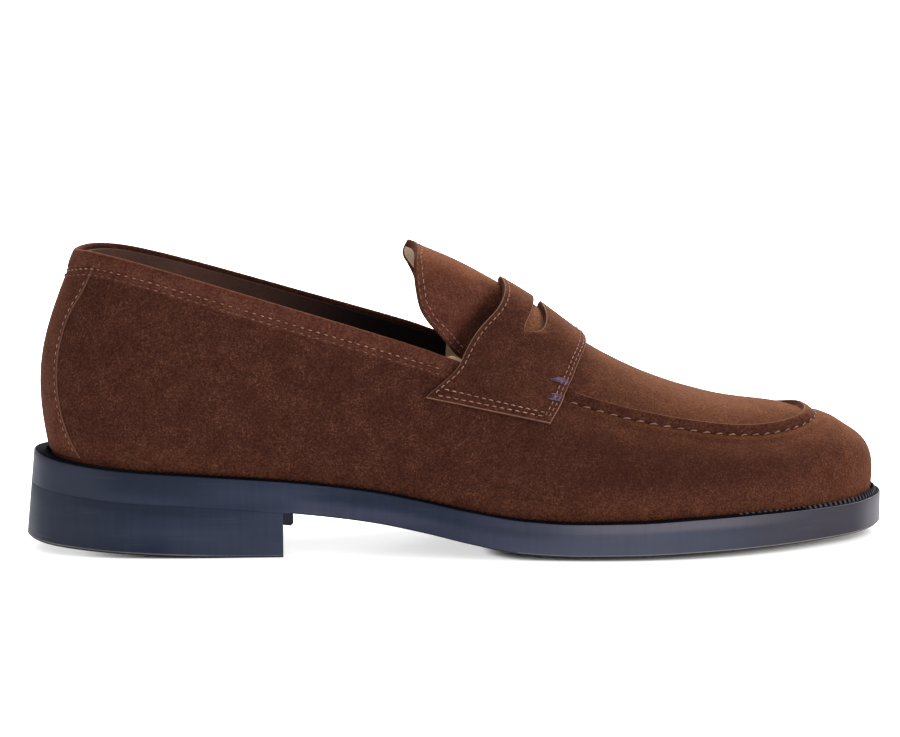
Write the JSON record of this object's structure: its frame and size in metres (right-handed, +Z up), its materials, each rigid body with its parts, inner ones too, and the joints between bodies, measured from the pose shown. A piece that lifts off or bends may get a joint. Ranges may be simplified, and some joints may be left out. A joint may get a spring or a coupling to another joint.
{
  "type": "penny loafer",
  "caption": "Right penny loafer in brown suede: slip-on upper with raised apron seam, slotted saddle strap and free tongue, on a dark welted rubber sole with a block heel",
  "frame": {"origin": "bottom centre of the bounding box, on the plane the sole stands on", "axes": "+X to the toe, +Y to the inner side of the foot, +Z up"},
  "size_m": [0.2997, 0.1038, 0.1024],
  "materials": {
    "suede": "matte suede nap",
    "suede_overlay": "matte suede nap",
    "sole_rubber": "satin",
    "welt_leather": "satin, dyed dark",
    "insole_leather": "smooth tan leather"
  },
  "bodies": {
    "root": {"outsole": "sole_rubber", "welt": "welt_leather", "heel": "sole_rubber", "insole": "insole_leather", "upper": "suede", "tongue": "suede", "strap": "suede_overlay", "back_strip": "suede_overlay"}
  },
  "joints": []
}
